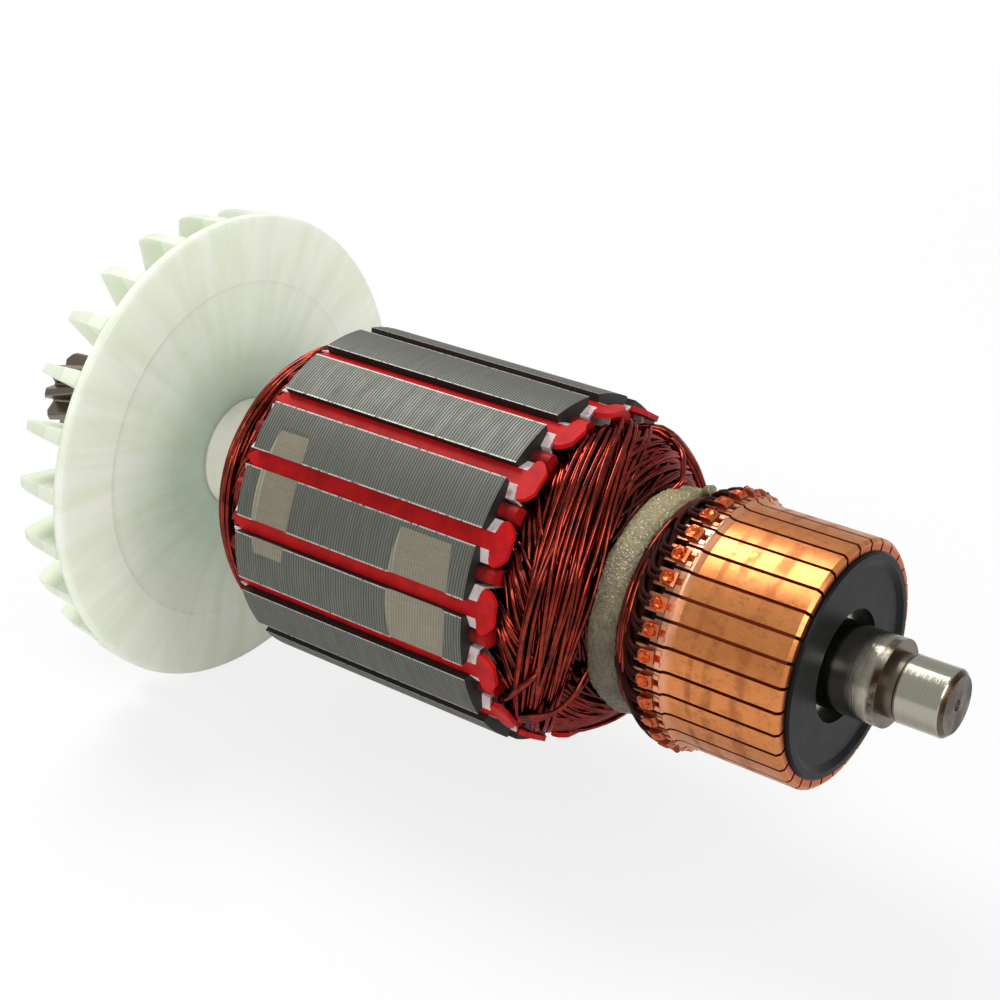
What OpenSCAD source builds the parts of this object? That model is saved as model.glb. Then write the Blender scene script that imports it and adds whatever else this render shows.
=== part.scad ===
// Armature of a large hand-held commutator motor: shaft with a helical pinion, cooling fan,
// slotted lamination stack, lap winding and a moulded commutator with hook risers.
// The shaft lies along X and +X points to the commutator end. The origin is the middle of
// the ground bearing seat at that end. Stations along the shaft are counted from the end
// face of the lamination stack that faces the commutator.

/* [Core] */
// Outer diameter of the lamination stack
core_d = 55; // [52:0.5:58]
// Length of the lamination stack
core_len = 44.5; // [36:0.5:56]
// Number of slots
slots = 16; // [14:1:18]
// Width of the slot mouths
slot_mouth = 2.6; // [2:0.1:3]
// Straight thickness of the tooth lips beside a mouth
lip_t = 1.3; // [0.9:0.1:1.6]
// Depth of the slope under the tooth lips
lip_slope = 1.2; // [0.8:0.1:1.5]
// Width of the tooth necks
tooth_w = 3.3; // [2.8:0.1:3.8]
// Depth of the slots
slot_depth = 11.8; // [11:0.1:12.5]
// Depth of the balance milling at its middle
mill_depth = 0.42; // [0.2:0.02:0.6]
// Radius left by the balance cutter
mill_r = 34; // [31:0.5:42]
// Length over which the cutter runs out at each end of a cut
mill_run = 1.3; // [0.5:0.1:2]

/* [Insulation] */
// Wall of the slot liners
liner_t = 0.3; // [0.2:0.05:0.4]
// Length of a liner that stands out of the core
liner_cuff = 1.5; // [1:0.1:2.5]
// Thickness of each star-shaped end insulator
star_t = 3; // [2.5:0.1:4]
// Width of the fingers of the end insulators
finger_w = 2.4; // [1.6:0.1:2.8]
// Clearance between a slot wedge and the tooth lips
wedge_gap = 0.05; // [0.03:0.01:0.1]
// Thickness of the tongue of a slot wedge
tongue_t = 0.8; // [0.5:0.1:0.9]
// Length of the tongue of a slot wedge
tongue_len = 4.6; // [4:0.1:6]
// Width of the tongue of a slot wedge
tongue_w = 6.9; // [5:0.1:7.2]
// Length of the pointed fan end of a slot wedge
point_len = 1.8; // [1:0.1:2.5]
// Wall of the insulating sleeve on the shaft
sleeve_t = 1.6; // [1:0.1:2]

/* [Winding] */
// Overhang of the winding at the commutator end
front_head = 13.6; // [12:0.1:15]
// Overhang of the winding at the fan end
rear_head = 12; // [10:0.1:14]
// Diameter of the neck of leads under the binding
neck_d = 30; // [28:0.5:32]
// Width of the cord binding
binding_w = 5.4; // [4:0.1:6.8]
// Radial thickness of the cord binding
binding_t = 2.5; // [1.5:0.1:3]
// How far the two coils wound last stand over the rest
last_rise = 0.9; // [0.3:0.1:1.2]
// Slots from one side of a coil to the other
coil_pitch = 7; // [5:1:8]
// Diameter of each of the two leads in a hook
lead_d = 0.9; // [0.6:0.05:1]

/* [Commutator] */
// Number of bars
bars = 32; // [28:1:36]
// Diameter of the brush track
track_d = 37; // [35:0.5:38]
// Diameter over the risers
riser_d = 38; // [37:0.5:40]
// Thickness of a folded hook
hook_t = 0.85; // [0.6:0.05:1]
// Width of a folded hook
hook_w = 2.1; // [1.6:0.1:2.4]
// Width of the gaps between the bars beside the hooks
hook_gap = 1.1; // [0.6:0.05:1.3]
// Width of the slots between the bars
bar_gap = 0.5; // [0.4:0.05:0.7]
// Depth of the undercut between the bars
undercut = 1; // [0.5:0.1:1.4]
// Distance from the core to the back of the risers
riser_pos = 23.6; // [23:0.1:25]
// Width of the risers
riser_w = 5; // [4.6:0.1:6]
// Length of the brush track
track_len = 18; // [15:0.5:20]
// Height of the copper left round the front face
copper_ring = 1.6; // [1.2:0.1:2]
// Turn of the first bar from the first tooth
bar_turn = 1.15; // [0:0.05:11]
// Wall of the steel bush in the commutator
bush_t = 2.5; // [2:0.1:3]

/* [Shaft] */
// Diameter of the commutator-end bearing seat
seat_d = 10; // [8:0.5:11]
// Length of the commutator-end journal from its shoulder
seat_len = 9.1; // [8:0.1:12]
// Width of the grinding relief behind the seat
relief_w = 2; // [1:0.1:2.5]
// Depth of the grinding relief
relief_t = 0.25; // [0.1:0.05:0.5]
// Chamfer on the journal's end
seat_chamfer = 0.75; // [0.4:0.05:1]
// Diameter of the shaft in the commutator
neck_shaft_d = 13; // [12:0.5:14]
// Length of shaft between the commutator and the bearing shoulder
neck_out = 7.1; // [4:0.1:10]
// Diameter of the shaft in the core and the fan
body_d = 16; // [15.5:0.5:18]
// Diameter of the drive-end bearing seat
drive_d = 15; // [14.8:0.1:15.5]
// Length of the drive-end bearing seat
drive_len = 11; // [9:0.5:14]
// Width of the run-out groove behind the pinion
runout = 2.5; // [2:0.1:4]
// Length of the pinion teeth
pinion_len = 16; // [12:0.5:20]
// Number of pinion teeth
pinion_teeth = 9; // [8:1:11]
// Diameter over the pinion teeth
pinion_d = 14.7; // [14:0.1:14.7]
// Depth of the pinion teeth
tooth_h = 2.8; // [2:0.1:3.2]
// Helix angle of the pinion teeth
helix = 15; // [0:1:20]

/* [Fan] */
// Outer diameter of the fan
fan_d = 81.6; // [76:0.2:86]
// Distance from the core to the front of the fan's hub
fan_pos = 24.4; // [22:0.1:30]
// Wall of the fan's disc
disc_t = 1.6; // [1.2:0.1:2.4]
// How far the rim lies behind the hub's front
disc_fall = 1.5; // [0:0.1:4]
// Number of blades
blades = 26; // [18:1:32]
// Thickness of a blade at its free edge
blade_t = 1.5; // [1.2:0.1:2]
// Thickness of a blade at the disc against that at its free edge
blade_draft = 1.9; // [1.2:0.1:2.2]
// Height of the soft step round the front of the disc
disc_step = 0.3; // [0.2:0.05:0.6]
// Distance from the front of the rim to the blade tips
blade_reach = 11; // [8:0.1:13]
// Diameter of the fan's hub
fan_hub_d = 27; // [24:0.5:32]
// Lean of the blades from root to tip
blade_lean = 5; // [0:0.5:8]

/* [Hidden] */
$fn = 96;
eps = 0.01;

// Core and slots, in the plane across the shaft
r_core = core_d / 2;
r_sleeve = body_d / 2 + sleeve_t;
slot_half = 180 / slots;
r_lip = r_core - lip_t;
r_shoulder = r_lip - lip_slope;
r_floor = r_core - slot_depth;
floor_r = (r_floor * sin(slot_half) - tooth_w / 2) / (1 - sin(slot_half));
floor_c = r_floor + floor_r;
r_liner = r_shoulder - 0.4;
function slot_wall(r, inset = 0) = r * tan(slot_half) - (tooth_w / 2 + inset) / cos(slot_half);

// Stations along the shaft, from the core's face at the commutator end
z_fan = -core_len - fan_pos;
z_rim = z_fan - disc_fall;
z_tips = z_rim - blade_reach;
z_hub_end = z_tips - 0.6;
z_drive = z_hub_end - 1.2;
z_drive_end = z_drive - drive_len;
z_pinion = z_drive_end - runout;
z_end = z_pinion - pinion_len;
z_binding = front_head + 0.3;
z_neck = z_binding + binding_w;
z_track = riser_pos + riser_w + 0.9;
z_copper = z_track + track_len - 0.7;
z_face = z_copper + 0.6;
z_step = z_face + neck_out;
z_tip = z_step + seat_len;
z_seat = z_step + relief_w;
z_origin = (z_seat + z_tip - seat_chamfer) / 2;

// Commutator, in the plane across the shaft
bar_angle = 360 / bars;
r_track = track_d / 2;
r_riser = riser_d / 2;
r_under = r_track - undercut;
r_copper = r_track - 0.5 - copper_ring + 0.4;
r_bush = neck_shaft_d / 2 + bush_t;
r_root = r_copper - 2.3;
r_spigot = r_bush + 1.2;
lead_gap = 0.4;
z_bush = z_neck + 0.4;
z_fold = riser_pos + riser_w - 1.3;
z_spot = riser_pos + 2.5;

// Balance milling: centre angle, start and length of each cut
mills = [[66, -core_len + 2.5, 8.3], [82, -14.6, 11.9]];

function pad(k) = str(k < 10 ? "0" : "", k);

// Lays a model that was drawn up along Z down along the shaft, with its X upwards.
module placed() {
    rotate([0, 90, 0]) rotate([0, 0, 180]) translate([0, 0, -z_origin]) children();
}

// A slot's outline inside the tooth necks, from its round floor up to a flat top.
function slot_points(inset, top) = concat(
    [for (i = [0:12]) let (a = 90 + slot_half + i * (180 - 2 * slot_half) / 12)
        [floor_c + (floor_r - inset) * cos(a), (floor_r - inset) * sin(a)]],
    [[top, -slot_wall(top, inset)], [top, slot_wall(top, inset)]]);

module slot_2d(inset, top) {
    polygon(slot_points(inset, top));
}

// The whole slot with its sloped shoulders and its mouth.
module slot_open_2d() {
    n = slot_mouth / 2;
    pts = slot_points(0, r_shoulder);
    polygon(concat(
        [for (i = [0:13]) pts[i]],
        [[r_lip, -n], [r_core + 1, -n], [r_core + 1, n], [r_lip, n]], [pts[14]]));
}

module each_slot() {
    for (k = [0:slots - 1]) rotate((k + 0.5) * 360 / slots) children();
}

// What a balance cut leaves standing, with a run-out at each end.
module milled_form(length) {
    out = mill_r + mill_depth * 1.2;
    polygon([[0, -1], [out, -1], [out, 0], [mill_r, mill_run], [mill_r, length - mill_run],
        [out, length], [out, length + 1], [0, length + 1]]);
}

module core() {
    color("dimgray") difference() {
        translate([0, 0, -core_len]) linear_extrude(core_len) difference() {
            circle(r_core);
            circle(r_sleeve);
            each_slot() slot_open_2d();
        }
        for (m = mills) translate([0, 0, m[1]]) rotate(m[0]) difference() {
            translate([r_core - 6, -16, 0]) cube([12, 32, m[2]]);
            translate([r_core - mill_depth - mill_r, 0, 0]) rotate_extrude($fn = 192)
                milled_form(m[2]);
        }
    }
}

// Fibre star with one rounded finger in front of each tooth.
module star_2d() {
    finger_end = r_shoulder + 0.5 - finger_w / 2;
    difference() {
        union() {
            circle(floor_c);
            for (k = [0:slots - 1]) rotate(k * 360 / slots) {
                translate([finger_end, 0]) circle(d = finger_w, $fn = 32);
                translate([floor_c - 2, -finger_w / 2]) square([finger_end - floor_c + 2, finger_w]);
            }
        }
        circle(r_sleeve);
        each_slot() slot_2d(0, r_shoulder + 2);
    }
}

module front_star() {
    color("maroon") linear_extrude(star_t) star_2d();
}

module rear_star() {
    color("maroon") translate([0, 0, -core_len - star_t]) linear_extrude(star_t) star_2d();
}

// A liner outside the core, where it is folded in over the slot's shoulders.
module cuff_2d() {
    n = slot_mouth / 2;
    over = slot_wall(r_shoulder) - n;
    fold = liner_t * norm([lip_slope, over]) / over;
    outer = slot_points(0, r_shoulder);
    inner = slot_points(liner_t, r_shoulder - fold);
    difference() {
        polygon(concat([for (i = [0:13]) outer[i]], [[r_lip, -n], [r_lip, n]], [outer[14]]));
        polygon(concat([for (i = [0:13]) inner[i]],
            [[r_lip - fold, -n], [r_lip + 1, -n], [r_lip + 1, n], [r_lip - fold, n]], [inner[14]]));
    }
}

module slot_liners() {
    color("linen") {
        translate([0, 0, -core_len - liner_cuff]) linear_extrude(core_len + 2 * liner_cuff)
            each_slot() difference() {
                slot_2d(0, r_liner);
                slot_2d(liner_t, r_liner + 1);
            }
        for (z = [0, -core_len - liner_cuff])
            translate([0, 0, z]) linear_extrude(liner_cuff) each_slot() cuff_2d();
    }
}

// Roof-shaped strip that closes a slot, with a flared tongue at the commutator end.
module wedge(k) {
    base = slot_wall(r_liner) - wedge_gap;
    eave = slot_wall(r_shoulder) - wedge_gap;
    ridge = slot_mouth / 2 - wedge_gap;
    r_top = r_lip - wedge_gap;
    r_under_tongue = r_top - tongue_t;
    half = tongue_w / 2;
    color("firebrick") rotate((k - 0.5) * 360 / slots) {
        translate([0, 0, -core_len]) linear_extrude(core_len) polygon([
            [r_liner, base], [r_shoulder - wedge_gap, eave], [r_top, ridge],
            [r_top, -ridge], [r_shoulder - wedge_gap, -eave], [r_liner, -base]]);
        translate([r_under_tongue, 0, 0]) rotate([0, 90, 0]) linear_extrude(tongue_t) {
            side = [
                [eps, ridge], [-liner_cuff, ridge], [-liner_cuff - 0.25, ridge + 0.5],
                [-liner_cuff - 0.35, half - 0.9], [-liner_cuff - 0.7, half - 0.25], [-liner_cuff - 1.3, half],
                [-tongue_len + 1, half - 0.35], [-tongue_len + 0.35, half - 1.1], [-tongue_len, half / 2]];
            polygon(concat(side, [for (i = [len(side) - 1:-1:0]) [side[i][0], -side[i][1]]]));
        }
        translate([r_under_tongue, 0, -core_len]) rotate([0, 90, 0]) linear_extrude(tongue_t)
            polygon([[-eps, ridge], [point_len, 0], [-eps, -ridge]]);
    }
}

module sleeve() {
    color("linen") translate([0, 0, z_fan]) difference() {
        cylinder(r = r_sleeve, h = z_neck - z_fan);
        translate([0, 0, -1]) cylinder(d = body_d, h = z_neck - z_fan + 2);
    }
}

// Height of the wound bunches over a head's plain outline, at a share of the head's reach.
function bunches(share, a, way) = let (
    lower = 0.35 * sin(slots * (a - way * 60 * share)) * sin(180 * min(share * 1.2, 1)),
    span = coil_pitch * 360 / slots,
    from = (a * way + 11.25 + 720) % 180,
    t = from / span,
    middle = t < 1 ? 0.8 * pow(sin(180 * t), 0.5) : -1,
    off = abs(share - middle) / 0.24,
    last = off < 1 ? last_rise * (1 - pow(off, 4)) * (0.85 + 0.15 * cos(share * 2400)) : 0)
    lower + last;

// Skin of a head of the winding on its plain outline, from the core outwards.
module wound_skin(outline, reach, way) {
    na = 96;
    ns = 11;
    inner = r_sleeve + 2;
    first = outline[0][0];
    function at(i) = first + (reach - first) * i / ns;
    function skin(i, a) = let (r = lookup(at(i), outline) + bunches(at(i) / reach, a, way))
        at(i) < tongue_len + 0.4 ? min(r, r_lip - wedge_gap - tongue_t - 0.1) : r;
    rings = concat(
        [for (i = [0:ns]) [for (j = [0:na - 1]) let (a = j * 360 / na, r = skin(i, a))
            [r * cos(a), r * sin(a), at(i)]]],
        [for (z = [reach, first]) [for (j = [0:na - 1]) let (a = j * 360 / na)
            [inner * cos(a), inner * sin(a), z]]]);
    n = len(rings);
    polyhedron(
        points = [for (ring = rings) each ring],
        faces = [for (i = [0:n - 1], j = [0:na - 1], side = [0, 1]) let (
            p = i * na + j, q = i * na + (j + 1) % na,
            u = (i + 1) % n * na + j, v = (i + 1) % n * na + (j + 1) % na)
            side == 0 ? [p, u, v] : [p, v, q]]);
}

module winding() {
    z_back = -core_len - star_t;
    r_coil = r_liner - liner_t;
    neck = neck_d / 2;
    front = [
        [star_t, r_coil - 1.4], [star_t + 1.6, r_coil], [star_t + 3.4, r_coil - 0.4],
        [star_t + 6.4, r_coil - 2.3], [front_head - 2.6, neck + 5.6], [front_head, neck + 2]];
    rear = [
        [star_t, r_coil - 1.4], [star_t + 2, r_coil - 0.9], [star_t + 5, r_coil - 2.6],
        [rear_head - 0.8, r_coil - 6], [rear_head, r_coil - 8.5]];
    color("darkred") {
        translate([0, 0, z_back - 0.5]) linear_extrude(core_len + 2 * star_t + 1)
            each_slot() slot_2d(liner_t, r_coil);
        rotate_extrude() polygon([
            [r_sleeve, star_t], [neck - 1, star_t], [neck - 1, z_binding], [neck, z_binding],
            [neck, z_neck], [r_sleeve, z_neck]]);
        wound_skin(front, front_head, 1);
        rotate_extrude() polygon([
            [r_sleeve, z_back], [neck - 2, z_back], [neck - 2, -core_len - rear_head + 0.5],
            [neck - 4, -core_len - rear_head - 0.3], [r_sleeve, -core_len - rear_head + 1]]);
        translate([0, 0, -core_len]) mirror([0, 0, 1]) wound_skin(rear, rear_head, -1);
    }
}

module binding() {
    w = binding_w;
    t = binding_t;
    color("darkkhaki") translate([0, 0, z_binding]) rotate_extrude() translate([neck_d / 2, 0])
        polygon([[0, 0], [t - 0.9, 0], [t - 0.25, 0.5], [t, 1.4], [t, w - 1.8], [t - 0.35, w - 0.6],
            [t - 1.1, w], [0, w]]);
}

// Collar of leads behind the risers, with one doubled lead to each hook.
module leads() {
    z0 = z_neck;
    r0 = neck_d / 2 + binding_t - 1.6;
    r1 = r_riser + hook_t - lead_d / 2 - 0.6;
    z1 = riser_pos - lead_gap;
    run = z1 - z0;
    rise = r1 - r0 - 0.2;
    color("saddlebrown") {
        rotate_extrude() polygon([
            [r_spigot, z0], [r0, z0], [r1 - 0.4, z1], [r_spigot, z1]]);
        for (k = [0:bars - 1], side = [-1, 1]) rotate(bar_turn + k * bar_angle + side * 1.5) {
            translate([r1, 0, z1 - 0.4]) cylinder(d = lead_d, h = lead_gap + 0.4, $fn = 24);
            translate([r0 + 0.2, 0, z0]) rotate([side * 12 - 8, atan(rise / run), 0])
                translate([0, 0, 0.5]) cylinder(d = lead_d, h = norm([rise, run]) - 0.6, $fn = 24);
        }
    }
}

// Section of a bar: riser, brush track, front chamfer and a dovetailed root.
module bar_section() {
    z0 = riser_pos;
    polygon([
        [r_copper - 1, z0 + 0.5], [r_riser - 1.6, z0], [r_riser - 0.4, z0], [r_riser, z0 + 0.4],
        [r_riser, z0 + riser_w - 0.2], [r_riser - 0.3, z0 + riser_w], [r_track, z_track],
        [r_track, z_copper - 0.5], [r_track - 0.5, z_copper], [r_copper, z_copper],
        [r_copper, z_copper - 2.2], [r_root, z_copper - 1.2], [r_root, z_track - 0.6],
        [r_copper, z_track + 1.2], [r_copper, z_track - 1.5], [r_copper - 1, z_track - 2.5]]);
}

// Everything between the two slots beside one bar. The slots are wider beside the hook.
module bar_sector() {
    a = bar_angle / 2;
    module wedge_of(gap, height) {
        tip = gap / 2 / sin(a);
        linear_extrude(height) polygon([
            [tip, 0], [tip + 30 * cos(a), 30 * sin(a)], [tip + 30 * cos(a), -30 * sin(a)]]);
    }
    wedge_of(hook_gap, z_spot + eps);
    translate([0, 0, z_spot]) wedge_of(bar_gap, z_face - z_spot);
}

// Tang folded back over the two leads, pressed flat and dented where it was fused.
module hook() {
    r = r_riser;
    t = hook_t;
    difference() {
        intersection() {
            translate([0, hook_w / 2, 0]) rotate([90, 0, 0]) linear_extrude(hook_w) polygon([
                [r - 0.3, z_fold], [r + t * 0.45, z_fold], [r + t * 0.85, z_fold - 0.35],
                [r + t, z_fold - 0.9], [r + t, z_spot - 0.6], [r + t * 0.7, z_spot - 1.25],
                [r, z_spot - 1.5], [r - 0.3, z_spot - 1.3]]);
            translate([r - 1, 0, z_spot]) rotate([0, 90, 0]) union() {
                cylinder(d = hook_w + 0.4, h = 3, $fn = 32);
                translate([-hook_w, -hook_w / 2 - 0.2, 0]) cube([hook_w, hook_w + 0.4, 3]);
            }
        }
        translate([r + t - 0.2, 0, z_spot]) rotate([0, 90, 0]) cylinder(d = hook_w - 0.5, h = 1, $fn = 32);
    }
    translate([r + t - 0.3, 0, z_spot]) rotate([0, 90, 0]) cylinder(d = hook_w - 1, h = 0.2, $fn = 32);
}

module bar(k) {
    color("peru") rotate(bar_turn + (k - 1) * bar_angle) {
        difference() {
            intersection() {
                rotate_extrude() bar_section();
                bar_sector();
            }
            // opening that the hook was bent out of
            translate([r_riser - 1.1, -0.45, z_fold + 0.1]) cube([3, 0.9, 0.8]);
        }
        hook();
        // shoulders beside that opening
        for (y = [0.55, -1.2]) translate([r_riser - 0.3, y, z_fold + 0.05]) cube([0.45, 0.65, 0.9]);
    }
}

// Moulding that holds the bars, fills the slots between them and forms the front face.
module commutator_body() {
    rim = r_copper - 1.2;
    color("#202020") difference() {
        rotate_extrude() polygon([
            [r_bush, z_bush], [r_spigot, z_bush], [r_spigot, riser_pos - lead_gap],
            [r_copper - 1, riser_pos - lead_gap], [r_copper - 1, riser_pos + 0.5],
            [r_under, riser_pos + 1.2], [r_under, z_copper - 1.2], [r_copper, z_copper - 0.9],
            [r_copper, z_face - 0.3], [r_copper - 0.3, z_face], [rim, z_face], [rim - 1, z_face - 0.6],
            [r_bush - 0.6, z_face - 0.6], [r_bush - 0.6, z_face - 2.5], [r_bush, z_face - 2.5]]);
        intersection() {
            rotate_extrude() bar_section();
            for (k = [0:bars - 1]) rotate(bar_turn + k * bar_angle) bar_sector();
        }
    }
}

module commutator_bush() {
    color("gray") translate([0, 0, z_bush]) difference() {
        cylinder(r = r_bush, h = z_face - 2.5 - z_bush);
        translate([0, 0, -1]) cylinder(d = neck_shaft_d, h = z_face - z_bush);
    }
}

// Disc with a dished and stepped front, a hub and blades on the side that faces the drive end.
module fan() {
    r = fan_d / 2;
    hub = fan_hub_d / 2;
    step_r = r * 0.73;
    z_dish = z_rim + 0.1;
    color("honeydew") difference() {
        union() {
            rotate_extrude() polygon([
                [0, z_fan], [hub - 2, z_fan], [hub + 1, z_fan - 0.08], [hub + 4, z_fan - 0.27],
                [step_r - 6, z_dish + 0.25], [step_r - 4 * disc_step, z_dish],
                [step_r - 2 * disc_step, z_dish + 0.15 * disc_step], [step_r, z_dish + disc_step],
                [r - 1.5, z_rim + 0.1], [r - 0.8, z_rim + 0.02], [r - 0.3, z_rim - 0.2], [r, z_rim - 0.6],
                [r, z_rim - disc_t + 0.5], [r - 0.8, z_rim - disc_t], [step_r, z_rim - disc_t + 0.3],
                [hub + 1, z_fan - disc_t - 1], [hub, z_fan - disc_t - 2],
                [hub, z_hub_end + 1], [hub - 1, z_hub_end], [0, z_hub_end]]);
            intersection() {
                rotate_extrude() polygon([
                    [hub - 0.5, z_fan - disc_t], [step_r, z_rim - disc_t + 0.5], [r - 0.6, z_rim - disc_t + 0.2],
                    [r - 0.01, z_rim - disc_t], [r - 0.6, z_tips + 3], [r - 1.3, z_tips + 0.6], [r - 1.9, z_tips],
                    [hub + 5, z_tips], [hub + 1, z_tips + 3], [hub - 0.5, z_tips + 3]]);
                for (k = [0:blades - 1]) rotate(k * 360 / blades + 11.3) blade();
            }
        }
        translate([0, 0, z_hub_end - 1]) cylinder(d = body_d, h = z_fan - z_hub_end + 2);
    }
}

// A straight blade that leans back from the hub to the rim and gets thicker towards the disc.
module blade() {
    root = (fan_hub_d / 2 - 1) * [cos(blade_lean), sin(blade_lean)];
    tip = [fan_d / 2, 0];
    free = blade_t / 2;
    held = free * blade_draft;
    tall = z_fan - z_tips;
    translate([root.x, root.y, z_tips]) rotate(atan2(tip.y - root.y, tip.x - root.x)) rotate([90, 0, 90])
        linear_extrude(norm(tip - root) + 1)
            polygon([[-free, 0], [free, 0], [held, tall], [-held, tall]]);
}

module shaft() {
    color("silver") difference() {
        union() {
            rotate_extrude() polygon([
                [0, z_pinion], [drive_d / 2 - 1.6, z_pinion], [drive_d / 2 - 1.6, z_drive_end - 0.5],
                [drive_d / 2 - 0.5, z_drive_end], [drive_d / 2, z_drive_end + 0.5], [drive_d / 2, z_drive],
                [body_d / 2, z_drive], [body_d / 2, z_neck - 1.5], [neck_shaft_d / 2, z_neck - 0.5],
                [neck_shaft_d / 2, z_step], [seat_d / 2 - relief_t, z_step],
                [seat_d / 2 - relief_t, z_seat - 0.3], [seat_d / 2, z_seat],
                [seat_d / 2, z_tip - seat_chamfer], [seat_d / 2 - seat_chamfer, z_tip], [0, z_tip]]);
            pinion();
        }
        // centre holes at both ends
        translate([0, 0, z_tip - 1.6]) cylinder(r1 = 0, r2 = 0.9, h = 1.7, $fn = 48);
        translate([0, 0, z_end - 0.1]) cylinder(r1 = 1.6, r2 = 0, h = 2.8, $fn = 48);
    }
}

// Helical teeth cut in the end of the shaft, chamfered at the outer end.
module pinion() {
    r = pinion_d / 2;
    root = r - tooth_h;
    half = 90 / pinion_teeth;
    twist = pinion_len * tan(helix) / (r - tooth_h / 2) * 180 / PI;
    function p(rad, a) = [rad * cos(a), rad * sin(a)];
    intersection() {
        translate([0, 0, z_end]) rotate(34) linear_extrude(pinion_len + 0.01, twist = twist, slices = 8)
            polygon([for (k = [0:pinion_teeth - 1], c = [
                [root, -2.1], [root + 0.5, -1.45], [r - tooth_h / 2, -1.02], [r - 0.35, -0.62], [r, -0.4],
                [r, 0.4], [r - 0.35, 0.62], [r - tooth_h / 2, 1.02], [root + 0.5, 1.45], [root, 2.1]])
                p(c[0], k * 360 / pinion_teeth + c[1] * half * (c[0] == root ? 0.85 : 1))]);
        rotate_extrude() polygon([
            [0, z_end], [r - 1, z_end], [r + 0.2, z_end + 1.2], [r + 0.2, z_pinion + 0.01], [0, z_pinion + 0.01]]);
    }
}

placed() shaft();
placed() sleeve();
placed() fan();
placed() core();
placed() front_star();
placed() rear_star();
placed() slot_liners();
placed() winding();
placed() leads();
placed() binding();
placed() commutator_body();
placed() commutator_bush();
for (k = [1:slots])
    placed() wedge(k);
for (k = [1:bars])
    placed() bar(k);
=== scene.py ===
"""Looks of a wound motor armature, laid over its CAD solids.

The shaft lies along X, with +X towards the commutator and +Z up. Stations along the shaft are
counted in millimetres from the face of the core that looks at the commutator, and angles round
the shaft from the top towards the front, as in the part's own source.
"""
import math
import random

import bmesh
import bpy
from mathutils import Matrix, Vector, noise


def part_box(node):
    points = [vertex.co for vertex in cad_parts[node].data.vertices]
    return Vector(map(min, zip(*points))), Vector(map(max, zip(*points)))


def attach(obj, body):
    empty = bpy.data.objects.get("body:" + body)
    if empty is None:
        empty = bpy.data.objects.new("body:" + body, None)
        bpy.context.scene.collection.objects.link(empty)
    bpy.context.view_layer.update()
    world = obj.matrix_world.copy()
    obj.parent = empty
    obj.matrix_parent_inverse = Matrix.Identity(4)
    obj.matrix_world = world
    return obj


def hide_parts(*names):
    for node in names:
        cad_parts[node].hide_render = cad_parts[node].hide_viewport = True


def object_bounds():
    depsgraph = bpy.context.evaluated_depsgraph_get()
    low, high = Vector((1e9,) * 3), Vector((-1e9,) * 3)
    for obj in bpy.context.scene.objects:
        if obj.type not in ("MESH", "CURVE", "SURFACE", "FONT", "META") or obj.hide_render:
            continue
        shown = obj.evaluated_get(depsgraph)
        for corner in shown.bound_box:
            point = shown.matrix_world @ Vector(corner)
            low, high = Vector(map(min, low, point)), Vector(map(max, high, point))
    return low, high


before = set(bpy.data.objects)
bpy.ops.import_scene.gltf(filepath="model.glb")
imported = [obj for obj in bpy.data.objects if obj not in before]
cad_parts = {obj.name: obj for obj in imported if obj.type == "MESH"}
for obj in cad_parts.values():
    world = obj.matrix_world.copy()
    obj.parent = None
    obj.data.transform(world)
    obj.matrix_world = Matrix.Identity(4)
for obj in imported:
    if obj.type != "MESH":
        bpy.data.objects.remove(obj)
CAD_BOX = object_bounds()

bl_info = {
    "name": "Motor armature",
    "version": (1, 0, 0),
    "blender": (4, 5, 0),
    "location": "View3D > Sidebar > Armature",
    "description": "Winds, ties and finishes the armature of a commutator motor",
    "category": "Object",
}

MM = 0.001
SLOTS = 16
BARS = 32
SLOT_STEP = 360 / SLOTS
BAR_STEP = 360 / BARS
BAR_TURN = 1.15      # angle of the first bar from the top, in degrees
BLADES = 26
BLADE_TURN = 11.3    # angle of one of the blades

# stations along the shaft in millimetres, station 0 on the face of the core
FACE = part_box("core")[1][0] / MM
CORE_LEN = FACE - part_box("core")[0][0] / MM
FAN_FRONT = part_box("fan")[1][0] / MM - FACE
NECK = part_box("binding")[1][0] / MM - FACE
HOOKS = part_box("bar_01")[0][0] / MM - FACE
DENT = HOOKS + 2.5   # middle of the dent in each hook
SHOULDER = 54.0      # half a millimetre before the end of the neck
RELIEF = 55.6        # in the groove between neck and bearing seat
CHAMFER = 63.0       # on the chamfer of the shaft's end
PINION = -94.2       # end of the drive-end journal, with groove and pinion beyond

# radii in millimetres
SHAFT_RADIUS = 6     # between seat and neck, only for the stretch of the grinding rings
CORE_RADIUS = 27.5
TRACK_RADIUS = 18.5
HOOK_TOP = 19.6
CORD_RADIUS = 17.5
FAN_STEP = 29.6      # step in the fan's disc
SLOT_EDGE = 1.3      # half the mouth of a slot


def linear(code):
    """Linear RGBA of an sRGB hex colour."""
    rgb = [int(code[i:i + 2], 16) / 255 for i in (1, 3, 5)]
    return tuple(c / 12.92 if c <= 0.04045 else ((c + 0.055) / 1.055) ** 2.4 for c in rgb) + (1.0,)


def colour(name, description, code):
    return bpy.props.FloatVectorProperty(
        name=name, description=description, subtype="COLOR", size=4, min=0, max=1, default=linear(code))


def length(name, description, mm, low, high):
    return bpy.props.FloatProperty(
        name=name, description=description, subtype="DISTANCE", unit="LENGTH",
        default=mm * MM, min=low * MM, max=high * MM, precision=5)


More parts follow.
